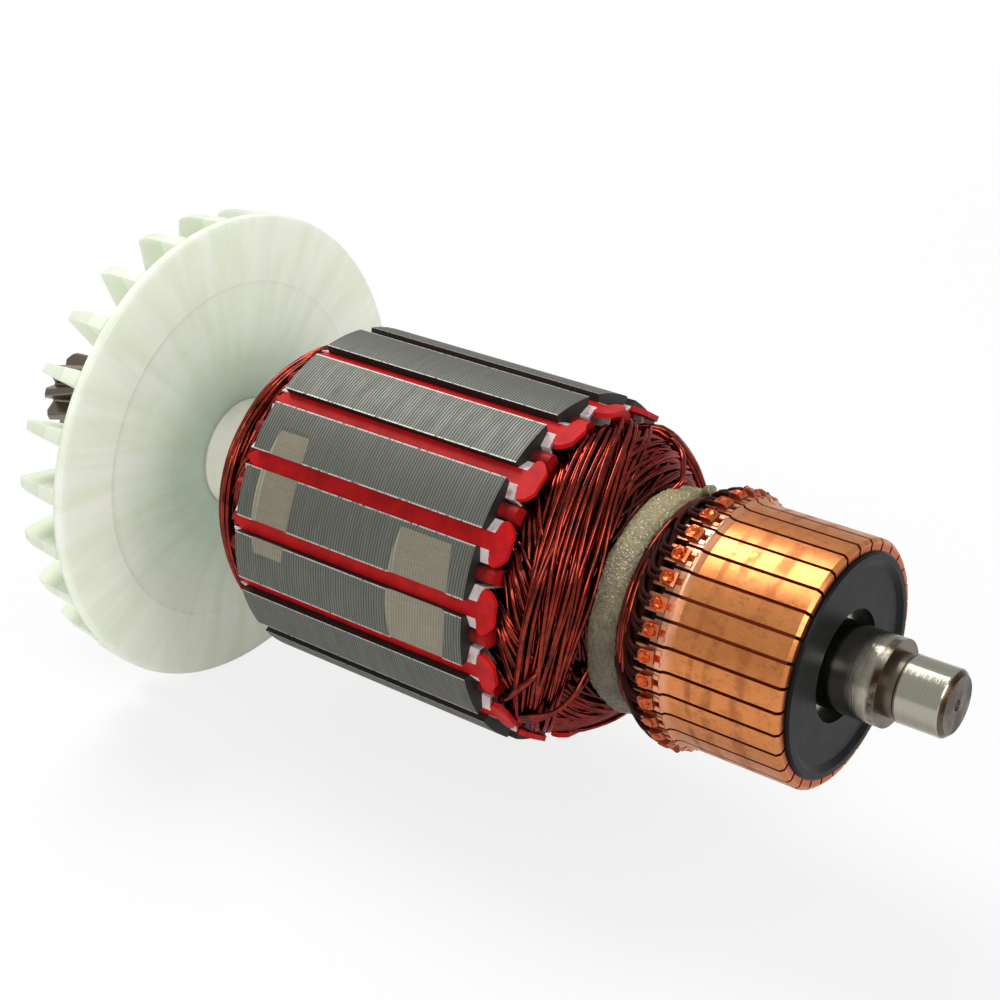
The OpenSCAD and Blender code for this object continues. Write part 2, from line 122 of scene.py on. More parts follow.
class ArmatureSizes(bpy.types.PropertyGroup):
    """Sizes of what is wound and tied on the armature."""
    wire: length("Wire", "Diameter of the enamelled wire", 0.82, 0.4, 1.2)
    lead: length("Lead", "Diameter of the leads behind the hooks", 0.75, 0.5, 1.2)
    cord_rise: length("Cord unevenness", "How far the resin-soaked cord swells and sinks", 0.28, 0, 0.6)
    coil_wires: bpy.props.IntProperty(
        name="Wires in a coil", description="Wires that show in each lower coil", default=12, min=4, max=20)
    last_wires: bpy.props.IntProperty(
        name="Wires in a last coil", description="Wires of each of the two coils wound last", default=34,
        min=10, max=60)
    seed: bpy.props.IntProperty(
        name="Seed", description="Start of the random unevenness of the winding", default=7, min=0)
    sheet: length("Sheet", "Thickness of one sheet of the core", 0.5, 0.35, 0.65)


class ArmatureColours(bpy.types.PropertyGroup):
    """Colours of the armature's materials."""
    enamel: colour("Enamel", "Wire enamel over copper", "#922b17")
    enamel_dark: colour("Dark enamel", "Wire enamel browned by resin", "#48120d")
    copper: colour("Copper", "Turned copper of the bars", "#e08f55")
    copper_worn: colour("Worn copper", "Brush film on the track", "#bb703a")
    fused: colour("Fused copper", "Heated copper on the hooks", "#d4541e")
    steel: colour("Ground steel", "Shaft", "#bab6a8")
    tarnish: colour("Tarnish", "Brown oil film in corners", "#57402c")
    sheet: colour("Sheet steel", "Ground edges of the core sheets", "#75756d")
    milled: colour("Milled steel", "Balance-milled places", "#a8a190")
    fibre: colour("Fibre", "Red vulcanised fibre", "#c41216")
    fibre_dark: colour("Soaked fibre", "Fibre soaked with resin", "#5c1a18")
    paper: colour("Liner paper", "Slot liner paper", "#e6d5d2")
    nylon: colour("Nylon", "Fan", "#f5fae6")
    sleeve: colour("Sleeve", "Insulating sleeve", "#f8f4e8")
    cord: colour("Cord", "Resin-soaked cord", "#938458")
    phenolic: colour("Phenolic", "Commutator moulding", "#101113")


def node(tree, kind, inputs=None, **settings):
    """Adds a node. inputs gives each socket a value, a field or another node's output."""
    made = tree.nodes.new(kind)
    for key, value in settings.items():
        setattr(made, key, value)
    for key, value in (inputs or {}).items():
        value = value.socket if isinstance(value, Field) else value
        if isinstance(value, bpy.types.NodeSocket):
            tree.links.new(value, made.inputs[key])
        else:
            made.inputs[key].default_value = value
    return made


class Field:
    """A number that varies from place to place, so that sums with it read as sums.

    a | b is the greater of the two, and a comparison is 1 where it holds and 0 elsewhere.
    """

    def __init__(self, tree, socket):
        self.tree, self.socket = tree, socket

    def math(self, operation, *others):
        inputs = dict(enumerate((self, *others)))
        return Field(self.tree, node(self.tree, "ShaderNodeMath", inputs, operation=operation).outputs[0])

    def __add__(self, other):
        return self.math("ADD", other)

    def __sub__(self, other):
        return self.math("SUBTRACT", other)

    def __rsub__(self, other):
        return Field(self.tree, other) - self

    def __mul__(self, other):
        return self.math("MULTIPLY", other)

    def __truediv__(self, other):
        return self.math("DIVIDE", other)

    def __rtruediv__(self, other):
        return Field(self.tree, other) / self

    def __or__(self, other):
        return self.math("MAXIMUM", other)

    def __lt__(self, other):
        return self.math("LESS_THAN", other)

    def __gt__(self, other):
        return self.math("GREATER_THAN", other)

    def __abs__(self):
        return self.math("ABSOLUTE")

    def rise(self, low, high):
        """0 below low, 1 above high, smooth between."""
        ends = {"Value": self, "From Min": low, "From Max": high}
        return Field(self.tree, node(self.tree, "ShaderNodeMapRange", ends,
                                     interpolation_type="SMOOTHSTEP").outputs[0])

    def fall(self, low, high):
        """1 below low, 0 above high, smooth between."""
        return 1 - self.rise(low, high)

    def near(self, middle, full, gone):
        """1 within full of the middle, 0 beyond gone of it, smooth between."""
        return abs(self - middle).fall(full, gone)


def material(name, **shader):
    """A new material, its node tree and its Principled shader with the given constant inputs."""
    made = bpy.data.materials.new(name)
    made.use_nodes = True
    tree = made.node_tree
    tree.nodes.clear()
    bsdf = node(tree, "ShaderNodeBsdfPrincipled", {k.replace("_", " "): v for k, v in shader.items()})
    node(tree, "ShaderNodeOutputMaterial", {"Surface": bsdf.outputs[0]})
    return made, tree, bsdf


def finished(made, bsdf, tint, relief, **more):
    """Links a material's tint, its relief (height from 0 to 1, millimetres, strength) and more."""
    tree = made.node_tree
    height, mm, strength = relief
    uneven = node(tree, "ShaderNodeBump", {"Height": height, "Distance": mm * MM, "Strength": strength})
    for name, value in {"Base Color": tint, "Normal": uneven.outputs[0], **more}.items():
        tree.links.new(value.socket if isinstance(value, Field) else value, bsdf.inputs[name])
    return made


def laid(tree, tint, *layers):
    """A tint with others laid over it in turn, each (share, tint) covering as much as its share."""
    for share, over in layers:
        over = linear(over) if isinstance(over, str) else over
        tint = node(tree, "ShaderNodeMix", {"Factor": share, 6: tint, 7: over}, data_type="RGBA").outputs[2]
    return tint


def grains(tree, *looks):
    """A noise for each (place, scale, detail, roughness)."""
    made = []
    for place, scale, detail, rough in looks:
        inputs = {"Vector": place, "Scale": scale, "Detail": detail, "Roughness": rough}
        made.append(Field(tree, node(tree, "ShaderNodeTexNoise", inputs).outputs[0]))
    return made


def lathe(tree):
    """Place on the armature in millimetres: vector, station, angle in degrees, radius."""
    given = node(tree, "ShaderNodeTexCoord").outputs["Object"]
    place = node(tree, "ShaderNodeVectorMath", {0: given, "Scale": 1 / MM}, operation="SCALE").outputs[0]
    x, y, z = (Field(tree, part) for part in node(tree, "ShaderNodeSeparateXYZ", {0: place}).outputs)
    angle = (y * -1.0).math("ARCTAN2", z).math("DEGREES")
    return place, x - FACE, angle, (y * y + z * z).math("SQRT")


def unrolled(x, a, radius, along=1.0, across=1.0):
    """The skin of a cylinder rolled flat, in millimetres, stretched along or across the shaft."""
    flat = {0: x * along, 1: a * (math.radians(radius) * across)}
    return node(x.tree, "ShaderNodeCombineXYZ", flat).outputs[0]


def facing_out(tree, place):
    """How squarely the surface looks away from the shaft, from 0 to 1."""
    flat = node(tree, "ShaderNodeVectorMath", {0: place, 1: (0, 1, 1)}, operation="MULTIPLY")
    out = node(tree, "ShaderNodeVectorMath", {0: flat.outputs[0]}, operation="NORMALIZE")
    normal = node(tree, "ShaderNodeNewGeometry").outputs["True Normal"]
    both = {0: out.outputs[0], 1: normal}
    return Field(tree, node(tree, "ShaderNodeVectorMath", both, operation="DOT_PRODUCT").outputs[1])


def own_share(count):
    """A random share from 0 to 1 for each whole number that a field counts."""
    whole = {"W": count.math("FLOOR")}
    return Field(count.tree, node(count.tree, "ShaderNodeTexWhiteNoise", whole,
                                  noise_dimensions="1D").outputs[0])


def bars_round(a):
    """How many bars round the commutator an angle is, whole at the gaps between them."""
    return (a - (BAR_TURN - BAR_STEP / 2)) / BAR_STEP


def from_dent(x, a):
    """Distance in millimetres from the middle of the nearest hook's dent."""
    across = (bars_round(a).math("FRACT") - 0.5) * (math.radians(BAR_STEP) * HOOK_TOP)
    place = node(x.tree, "ShaderNodeCombineXYZ", {0: x - DENT, 1: across}).outputs[0]
    return Field(x.tree, node(x.tree, "ShaderNodeVectorMath", {0: place}, operation="LENGTH").outputs[1])


# ---------------------------------------------------------------- materials

def ground_steel(tints):
    """Ground steel: fine rings round the shaft, bright lands, brown oil film in the relief and neck."""
    made, tree, bsdf = material("Ground steel", Metallic=1.0)
    place, x, a, _ = lathe(tree)
    ground = unrolled(x, a, SHAFT_RADIUS, along=9, across=0.12)
    blotch, rings = grains(tree, (place, 0.22, 4, 0.55), (ground, 1.0, 2, 0.55))
    # oil film: in the relief beside the seat, on the neck and all over the pinion
    relief = abs(x - RELIEF) < 1.15
    neck = blotch.rise(0.46, 0.66) * (x < SHOULDER + 0.4)
    # thinner on the end's chamfer and at the shoulder
    edge = x.rise(CHAMFER - 0.1, CHAMFER + 0.3) | x.near(SHOULDER, 0.3, 1.1)
    film = relief * 0.75 | neck * 0.25 | (x < PINION) * 0.62 | edge * blotch.rise(0.3, 0.6)
    brown = laid(tree, tints.tarnish, (blotch, "#2b1c12"))
    # beyond the chamfer the shaft's end is darkened: a painted dark reflection on its polished face
    tint = laid(tree, tints.steel, (rings, "#979181"), ((x > CHAMFER) * 0.8, "#3f3d37"), (film, brown))
    return finished(made, bsdf, tint, (rings, 0.02, 0.6), Roughness=film * 0.2 + rings * 0.14 + 0.1)


def lamination_steel(tints, sheet):
    """Stacked electrical sheets, ground round: a fine line between sheets, smeared where milled."""
    made, tree, bsdf = material("Lamination steel", Metallic=0.85)
    place, x, a, r = lathe(tree)
    sheets = x / (sheet / MM)
    # the joint between two sheets is a dark groove, softer than a real one so that it shows
    seam = sheets.math("FRACT").near(0.5, 0.06, 0.3)
    patchy, streak, wipe, chip = grains(
        tree, (unrolled(x, a, CORE_RADIUS, along=1.2, across=0.25), 0.5, 5, 0.65),
        (unrolled(x, a, CORE_RADIUS, along=2.2, across=0.2), 1.0, 3, 0.7),
        (unrolled(x, a, CORE_RADIUS, along=0.3, across=3.0), 0.8, 4, 0.6), (place, 1.5, 2, 0.55))
    # the grinding wheel left a raised edge along the slots; the bright line along it is a painted highlight
    from_slot = abs((a / SLOT_STEP).math("FRACT") - 0.5) * (math.radians(SLOT_STEP) * CORE_RADIUS)
    burr_highlight = from_slot.fall(SLOT_EDGE + 0.1, SLOT_EDGE + 0.3) * chip.rise(0.3, 0.5)
    ground = laid(
        tree, tints.sheet, (own_share(sheets) * 0.12, "#8f9189"),
        (patchy.rise(0.35, 0.75) * 0.3, "#5d615b"), (streak.rise(0.5, 0.8) * 0.2, "#a5a79e"),
        (seam * 0.7, "#343632"), (burr_highlight * 0.8, "#d6d6ce"))
    # a balance cut lies below the ground skin and looks outwards; slot walls don't
    outward = facing_out(tree, place) > 0.7
    cut = (1 - (r > CORE_RADIUS - 0.06)) * outward
    milled = laid(tree, tints.milled, (wipe, "#8a8270"), (seam * 0.3, "#4c483e"))
    tint = laid(tree, linear("#3c3d3a"), (outward, ground), (cut, milled))
    relief = 1 - seam * (1 - cut * 0.7)
    return finished(made, bsdf, tint, (relief, 0.06, 0.8), Roughness=patchy * 0.3 + 0.42)


def fibre(tints, name, soaked):
    """Vulcanised fibre, punched from sheet: satin red, darker and glossier where resin soaked in."""
    made, tree, bsdf = material(name, Coat_Weight=0.04, Coat_Roughness=0.3, Specular_IOR_Level=0.12)
    place, x, _, _ = lathe(tree)
    cloud, pulp = grains(tree, (place, 0.35, 4, 0.6), (place, 4.0, 2, 0.55))
    red = laid(tree, tints.fibre, (cloud.rise(0.35, 0.75), "#9c0f12"), (pulp * 0.15, "#d82a24"))
    if soaked:
        wet = x.fall(1.3, 2.0) * cloud.rise(0.25, 0.45)
        red = laid(tree, red, (wet * 0.85 | 0.35, tints.fibre_dark))
    return finished(made, bsdf, red, (pulp, 0.05, 0.5), Roughness=cloud * 0.25 + 0.35)


def liner_paper(tints):
    """Aramid paper: matte, off-white, pink where red resin wicked in."""
    made, tree, bsdf = material("Liner paper", Roughness=0.8)
    place = lathe(tree)[0]
    cloud, pulp = grains(tree, (place, 0.5, 3, 0.55), (place, 6.0, 2, 0.55))
    tint = laid(tree, tints.paper, (cloud.rise(0.5, 0.75), "#b98078"))
    return finished(made, bsdf, tint, (pulp, 0.03, 1.0))


def moulded_nylon(tints):
    """Natural nylon, moulded: milky and a little see-through; the blades' shade through the disc is
    painted.
    """
    made, tree, bsdf = material(
        "Natural nylon", Roughness=0.38, Subsurface_Weight=0.45, Subsurface_Radius=(0.6, 0.9, 0.55),
        Subsurface_Scale=0.006, Specular_IOR_Level=0.45, Coat_Weight=0.1, Coat_Roughness=0.3)
    place, x, a, r = lathe(tree)
    # flow marks run out from the hub, a little curved and none like the next
    turned = (r.rise(10.0, 24.0) * 9.0 + a).math("RADIANS")
    round_hub = {0: turned.math("SINE") * 7.0, 1: turned.math("COSINE") * 7.0, 2: r * 0.035}
    rays = node(tree, "ShaderNodeCombineXYZ", round_hub).outputs[0]
    flow, cloud, pits = grains(tree, (rays, 1.0, 3, 0.6), (place, 0.06, 3, 0.55), (place, 0.8, 2, 0.55))
    blades = (a - BLADE_TURN) * (BLADES / 360) + 40.5
    tint = laid(
        tree, tints.nylon,
        # greener towards the hub, and a painted highlight along the step
        (r.fall(9.0, 33.0) * 0.8, "#cdecd5"), (r.near(FAN_STEP, 0.2, 0.9) * 0.28, "#fffff4"),
        # painted shade on the blades behind the disc, and the blades' painted shade seen through it
        ((x < FAN_FRONT - 6.5) * 0.6, "#d6dcc6"),
        (blades.math("FRACT").near(0.5, 0.0, 0.3) * 0.16, "#d3dfc0"),
        (flow.rise(0.42, 0.62) * 0.35, "#d9e2c4"), (cloud.rise(0.45, 0.7) * 0.3, "#f6f8e8"))
    return finished(made, bsdf, tint, (pits, 0.03, 0.4))


def tube_plastic(tints):
    """Glass-filled tube: cream, satin, with faint grey smudges."""
    made, tree, bsdf = material("Cream tube", Roughness=0.4, Coat_Weight=0.15)
    place, x, _, _ = lathe(tree)
    cloud, pits = grains(tree, (place, 0.25, 3, 0.55), (place, 3.0, 2, 0.55))
    # painted shade in the corner where the sleeve meets the fan
    joint = x.fall(FAN_FRONT + 0.15, FAN_FRONT + 0.6)
    tint = laid(tree, tints.sleeve, (cloud.rise(0.4, 0.8) * 0.3, "#cfc8b6"), (joint * 0.6, "#7c7a68"))
    return finished(made, bsdf, tint, (pits, 0.03, 1.0))


def phenolic(tints):
    """Phenolic moulding: black, satin, fine turning rings on its face and dull scuffs."""
    made, tree, bsdf = material("Phenolic moulding", Specular_IOR_Level=0.1)
    place, x, _, r = lathe(tree)
    turned = node(tree, "ShaderNodeCombineXYZ", {0: r * 5.0}).outputs[0]
    scuff, rings = grains(tree, (place, 0.5, 4, 0.65), (turned, 1.0, 2, 0.55))
    # brown copper dust settles in the slots between the bars
    dust = (r > 17.0) * x.rise(27.0, 29.0) * (x < 46.2)
    tint = laid(tree, tints.phenolic, (scuff.rise(0.5, 0.95), "#27292b"), (dust, "#8a3a1a"))
    return finished(made, bsdf, tint, (rings, 0.03, 0.5), Roughness=scuff * 0.25 + 0.25)


def turned_copper(tints):
    """Turned copper bars: fine rings, brush film in darker bands, hot-fused tops on the hooks."""
    made, tree, bsdf = material("Turned copper", Metallic=1.0)
    _, x, a, r = lathe(tree)
    skin = unrolled(x, a, TRACK_RADIUS)
    rings, cloud, speck, smear = grains(
        tree, (unrolled(x, a, TRACK_RADIUS, along=7, across=0.1), 1.0, 3, 0.55), (skin, 0.35, 4, 0.6),
        (skin, 3.2, 2, 0.7), (unrolled(x, a, TRACK_RADIUS, along=0.7), 0.9, 4, 0.7))
    bands = x.near(35.5, 0.45, 1.17) | x.near(40.3, 0.55, 1.43) | x.near(32.6, 0.25, 0.65)
    film = bands * cloud.rise(0.3, 0.6)
    plate = x.fall(27.3, 27.5) * r.rise(18.6, 19.0) * (cloud * 0.5 + 0.35)
    tint = laid(
        tree, tints.copper,
        # every bar took the brush film a little differently
        (own_share(bars_round(a)) * 0.3, tints.copper_worn),
        (cloud.rise(0.4, 0.75) * 0.5, tints.copper_worn),
        # finger marks and tarnish in clouds, the brush film, specks
        (smear.rise(0.5, 0.75) * 0.6, "#935230"), (film * 0.55, "#9a5a36"),
        (speck.rise(0.62, 0.7) * 0.5, "#5e3018"),
        # the risers are paler, and the folded hooks are browned by the heat of fusing
        (x.fall(28.4, 29.8) * 0.6, "#e8ae92"), (plate, "#7a4630"),
        # a round hot patch in the middle of each hook
        (from_dent(x, a).fall(0.9, 1.5) * 0.85, tints.fused),
        # in the slots and behind the hooks the copper is darkened: painted shade in these hollows, over
        # some resin and dust
        (r.fall(17.5, 18.2) * 0.8, "#a8451f"), (x.fall(23.7, 24.9) * 0.75, "#3a1a10"))
    rough = rings * 0.2 + film * 0.15 + 0.23
    return finished(made, bsdf, tint, (rings, 0.02, 0.7), Roughness=rough)


def fused_copper(tints):
    """Copper melted by the welding electrode: bright orange ripples with brown scale in the hollows."""
    made, tree, bsdf = material("Fused copper", Metallic=0.9, Coat_Weight=0.2, Coat_Roughness=0.1)
    place, x, a, _ = lathe(tree)
    ripple, = grains(tree, (place, 1.1, 3, 0.6))
    rim = from_dent(x, a).rise(0.62, 0.95) * 0.75
    tint = laid(tree, tints.fused, (ripple.rise(0.5, 0.68), "#7a2a10"), (rim, "#5c200d"))
    return finished(made, bsdf, tint, (ripple, 0.15, 0.8), Roughness=ripple * 0.3 + 0.1)


def enamelled_wire(tints, name, dark):
    """Polyester enamel over copper: deep red-brown lacquer with orange glints along each wire."""
    made, tree, bsdf = material(
        name, Metallic=0.0 if dark else 1.0, Coat_Weight=0.0 if dark else 0.35, Coat_Roughness=0.05,
        Specular_IOR_Level=0.15, Specular_Tint=(0.62, 0.2, 0.1, 1))
    place, x, _, r = lathe(tree)
    cloud, drops, pits = grains(tree, (place, 0.45, 3, 0.55), (place, 1.6, 3, 0.7), (place, 1.4, 2, 0.55))
    drip = drops.rise(0.55, 0.72)
    # deeper in the head the wires are darker: painted shade under the top wires, with some resin
    slope = {"Value": x, "From Min": 6.0, "From Max": 15.0, "To Min": 22.6, "To Max": 16.2}
    top = node(tree, "ShaderNodeMapRange", slope).outputs[0]
    sunk_shade = (r - top).fall(-0.4, 1.3) * (x > 0.0)
    tint = laid(
        tree, tints.enamel_dark if dark else tints.enamel, (cloud.rise(0.35, 0.75), tints.enamel_dark),
        # painted shade in the depth, and resin left in drops and skins between the wires
        (sunk_shade * 0.75, "#260a07"), (drip * 0.4, "#2c0c08"))
    # the dark kind, for the body inside each head and for the leads, is near black: painted shade of these
    # hollows over resin-browned enamel
    if dark:
        tint = laid(tree, tint, (drip * 0.2 + 0.72, "#120a08"))
    return finished(made, bsdf, tint, (pits, 0.03, 0.4), Roughness=drip * 0.2 + (0.5 if dark else 0.14))


def soaked_cord(tints):
    """Glass-fibre cord soaked in resin: olive-grey, glossy skin over fine slanted strands, tiny painted
    glints, painted light on top and painted shade below.
    """
    made, tree, bsdf = material("Soaked glass cord", Coat_Weight=0.7, Coat_Roughness=0.08)
    place, x, a, _ = lathe(tree)
    skin = unrolled(x, a, CORD_RADIUS)
    slanted = unrolled(x + a * 0.05, a, CORD_RADIUS, along=4.0, across=0.5)
    cloud, strand, fuzz, spark = grains(
        tree, (skin, 0.35, 4, 0.6), (slanted, 1.0, 4, 0.7), (place, 3.5, 3, 0.75), (skin, 3.2, 2, 0.8))
    from_top = abs(a)
    # painted glints where single glass fibres stand bare: white mirror flecks, laid only on the upper side
    # where the light falls
    glint = spark.rise(0.59, 0.64) * from_top.fall(45.0, 85.0)
    # darker towards the bottom and lighter on top: painted shade and painted light
    tint = laid(
        tree, tints.cord, (cloud.rise(0.3, 0.7), "#5f5238"), (strand.rise(0.4, 0.7) * 0.4, "#a89d7e"),
        (fuzz.rise(0.5, 0.7) * 0.4, "#4a4232"), (from_top.rise(55.0, 95.0) * 0.6, "#4c3c2f"),
        (from_top.fall(5.0, 60.0) * 0.55, "#b5a468"), (glint, "#f6f3e6"))
    finished(made, bsdf, tint, (fuzz * 0.8 + strand, 0.3, 1.0), Roughness=fuzz * 0.5 + 0.1, Metallic=glint)
    tree.links.new(bsdf.inputs["Normal"].links[0].from_socket, bsdf.inputs["Coat Normal"])
    return made


# ---------------------------------------------------------------- shapes

def on_shaft(station, angle, radius):
    """Point in metres at a station and an angle, at a radius in millimetres."""
    a = math.radians(angle)
    return Vector(((station + FACE) * MM, -radius * math.sin(a) * MM, radius * math.cos(a) * MM))


def between(table, x):
    """Value at x of a table of (x, value) pairs."""
    for (x0, v0), (x1, v1) in zip(table, table[1:]):
        if x <= x1:
            t = max(0, (x - x0) / (x1 - x0))
            return v0 + (v1 - v0) * t
    return table[-1][1]


def new_object(name, data):
    made = bpy.data.objects.new(name, data)
    bpy.context.scene.collection.objects.link(made)
    return made


def named_tree(name, *sockets):
    """A Geometry Nodes tree and its inputs, each given as name, kind, subtype and default."""
    tree = bpy.data.node_groups.new(name, "GeometryNodeTree")
    for label, kind, *rest in sockets:
        made = tree.interface.new_socket(label, in_out="INPUT", socket_type="NodeSocket" + kind)
        for key, value in zip(("subtype", "default_value"), rest):
            setattr(made, key, value)
    tree.interface.new_socket("Result", in_out="OUTPUT", socket_type="NodeSocketGeometry")
    return tree, node(tree, "NodeGroupInput").outputs


def wire_tree():
    """Geometry Nodes: a round wire along every path."""
    tree, given = named_tree(
        "Wire along its path", ("Paths", "Geometry"), ("Wire diameter", "Float", "DISTANCE", 0.8 * MM),
        ("Sides", "Int", "NONE", 6), ("Material", "Material"))
    ring = node(tree, "GeometryNodeCurvePrimitiveCircle",
                {"Resolution": given["Sides"], "Radius": Field(tree, given["Wire diameter"]) * 0.5},
                mode="RADIUS")
    tube = node(tree, "GeometryNodeCurveToMesh",
                {"Curve": given["Paths"], "Profile Curve": ring.outputs[0], "Fill Caps": True})
    smooth = node(tree, "GeometryNodeSetShadeSmooth", {0: tube.outputs[0]})
    real = node(tree, "GeometryNodeRealizeInstances", {0: smooth.outputs[0]})
    done = node(tree, "GeometryNodeSetMaterial",
                {"Geometry": real.outputs[0], "Material": given["Material"]})
    node(tree, "NodeGroupOutput", {0: done.outputs[0]})
    return tree


def ring_tree():
    """Geometry Nodes: a piece repeated round the shaft, each copy turned a little at random."""
    tree, given = named_tree(
        "Ring round the shaft", ("Piece", "Geometry"), ("Count", "Int", "NONE", BARS),
        ("Unevenness", "Float", "NONE", 0.0), ("Melt", "Float", "DISTANCE", 0.0),
        ("Seed", "Int", "NONE", 3), ("Material", "Material"))
    places = node(tree, "GeometryNodePoints", {"Count": given["Count"], "Radius": 0.001})
    number = Field(tree, node(tree, "GeometryNodeInputIndex").outputs[0])
    turn = number * (-2 * math.pi / Field(tree, given["Count"]))
    # inputs 2 and 3 are the least and the greatest of the random number that output 1 gives
    most = Field(tree, given["Unevenness"])
    jitter = node(tree, "FunctionNodeRandomValue", {2: most * -1.0, 3: most, "Seed": given["Seed"]},
                  data_type="FLOAT")
    spin = node(tree, "ShaderNodeCombineXYZ", {0: turn + jitter.outputs[1]})
    copies = node(tree, "GeometryNodeInstanceOnPoints",
                  {"Points": places.outputs[0], "Instance": given["Piece"], "Rotation": spin.outputs[0]})
    real = node(tree, "GeometryNodeRealizeInstances", {0: copies.outputs[0]})
    # every copy is melted into its own shape
    here = node(tree, "GeometryNodeInputPosition").outputs[0]
    uneven = node(tree, "ShaderNodeTexNoise", {"Vector": here, "Scale": 850.0, "Detail": 0.0})
    centred = node(tree, "ShaderNodeVectorMath", {0: uneven.outputs["Color"], 1: (0.5, 0.5, 0.5)},
                   operation="SUBTRACT")
    offset = node(tree, "ShaderNodeVectorMath",
                  {0: centred.outputs[0], "Scale": Field(tree, given["Melt"]) * 4.0}, operation="SCALE")
    moved = node(tree, "GeometryNodeSetPosition",
                 {"Geometry": real.outputs[0], "Offset": offset.outputs[0]})
    done = node(tree, "GeometryNodeSetMaterial",
                {"Geometry": moved.outputs[0], "Material": given["Material"]})
    node(tree, "NodeGroupOutput", {0: done.outputs[0]})
    return tree


def grown(name, data, tree, **values):
    """The plain mesh that a Geometry Nodes tree makes of some data, with its named inputs set."""
    seed = new_object(name + "_paths", data)
    grow = seed.modifiers.new("Grow", "NODES")
    grow.node_group = tree
    sockets = {s.name: s.identifier for s in tree.interface.items_tree
               if s.item_type == "SOCKET" and s.in_out == "INPUT"}
    for key, value in values.items():
        grow[sockets[key.replace("_", " ")]] = value
    ready = bpy.context.evaluated_depsgraph_get()
    mesh = bpy.data.meshes.new_from_object(seed.evaluated_get(ready), depsgraph=ready)
    bpy.data.objects.remove(seed)
    mesh.name = name
    made = new_object(name, mesh)
    mesh.shade_smooth()
    return made


def paths(name, lines):
    """One curve whose splines run through the given points."""
    curve = bpy.data.curves.new(name, "CURVE")
    curve.dimensions = "3D"
    for line in lines:
        spline = curve.splines.new("POLY")
        spline.points.add(len(line) - 1)
        for point, place in zip(spline.points, line):
            point.co = (*place, 1.0)
    return curve


def revolved(name, profile, turns=96, swell=0.0, seed=0.0, fuzz=0.0):
    """A closed ring turned from (station, radius) corners, uneven by swell and fuzz millimetres."""
    rows = len(profile)
    places = []
    for i in range(turns):
        a = 360 * i / turns
        for station, radius in profile:
            place = on_shaft(station, a, radius)
            # waves about 4, 1 and 6 mm long, and hairs under half a millimetre
            uneven = noise.noise(Vector((place.y, place.z, place.x)) * 260 + Vector((seed, 0, 0)))
            fine = noise.noise(place * 900 + Vector((0, seed, 0))) * 0.35
            along = noise.noise(place * 170 + Vector((0, 0, seed + 9)))
            hair = noise.noise(place * 2600) * fuzz if fuzz else 0.0
            places.append(on_shaft(station + along * swell, a, radius + (uneven + fine) * swell + hair))
    faces = [(i * rows + j, i * rows + (j + 1) % rows, (i + 1) % turns * rows + (j + 1) % rows,
              (i + 1) % turns * rows + j) for i in range(turns) for j in range(rows)]
    mesh = bpy.data.meshes.new(name)
    mesh.from_pydata(places, [], faces)
    fix_outward(mesh)
    mesh.shade_smooth()
    return new_object(name, mesh)


def fix_outward(mesh):
    """Turns every face of a closed mesh outwards."""
    work = bmesh.new()
    work.from_mesh(mesh)
    bmesh.ops.recalc_face_normals(work, faces=work.faces)
    work.to_mesh(mesh)
    work.free()


# outline of the wound heads: station from the core's face and radius
FRONT_HEAD = [(0, 22.6), (2, 23.4), (4, 24.3), (5.6, 24.9), (6.7, 24.5), (9.3, 22.9), (10.3, 22.0),
              (12.6, 19.8), (14.4, 17.6), (15.4, 16.6)]
REAR_HEAD = [(0, 22.6), (2, 23.4), (4.5, 24.0), (7, 22.6), (9.5, 20.4), (11.2, 18.6), (12, 16.5)]


def coil_wire(rnd, outline, start, end, tops, below, side, dive=0.0):
    """Points of one wire that leaves a slot, sweeps over the head and enters another slot."""
    count = 44
    wave = [(rnd.uniform(0, 6.28), rnd.uniform(1.0, 2.4)) for _ in range(4)]
    reach = rnd.uniform(0.44, 0.56)
    depth = rnd.uniform(0.0, 2.4)
    line = []
    for i in range(count + 1):
        t = i / count
        t = t * t * (3 - 2 * t) * 0.35 + t * 0.65
        high = math.sin(math.pi * t) ** reach if 0 < t < 1 else 0.0
        top = tops[0] + (tops[1] - tops[0]) * t
        angle = start + (end - start) * t
        angle += 0.9 * math.sin(wave[0][0] + wave[0][1] * 4 * t) * high
        station = 0.6 + (top - 0.6) * high + 0.2 * math.sin(wave[1][0] + wave[1][1] * 5 * t) * high
        radius = between(outline, station) - below * min(1, high * 1.3) - depth * (1 - high) ** 2
        radius += (0.14 * math.sin(wave[2][0] + wave[2][1] * 6 * t)
                   + 0.06 * math.sin(wave[3][0] + 19 * t)) * high
        late = min(max((t - 0.45) / 0.4, 0.0), 1.0)
        radius -= dive * late * late * (3 - 2 * late)
        station = station if side > 0 else -CORE_LEN - station
        line.append(on_shaft(station, angle, radius))
    return line


def layered(rnd, count, row):
    """Places across a coil, from 0 to 1, and the layer of each of its wires, top layer first."""
    for j in range(count):
        layer, place = divmod(j, row)
        yield min(max((place + 0.5 * (layer % 2) + rnd.uniform(-0.22, 0.22)) / (row - 0.5), 0), 1), layer


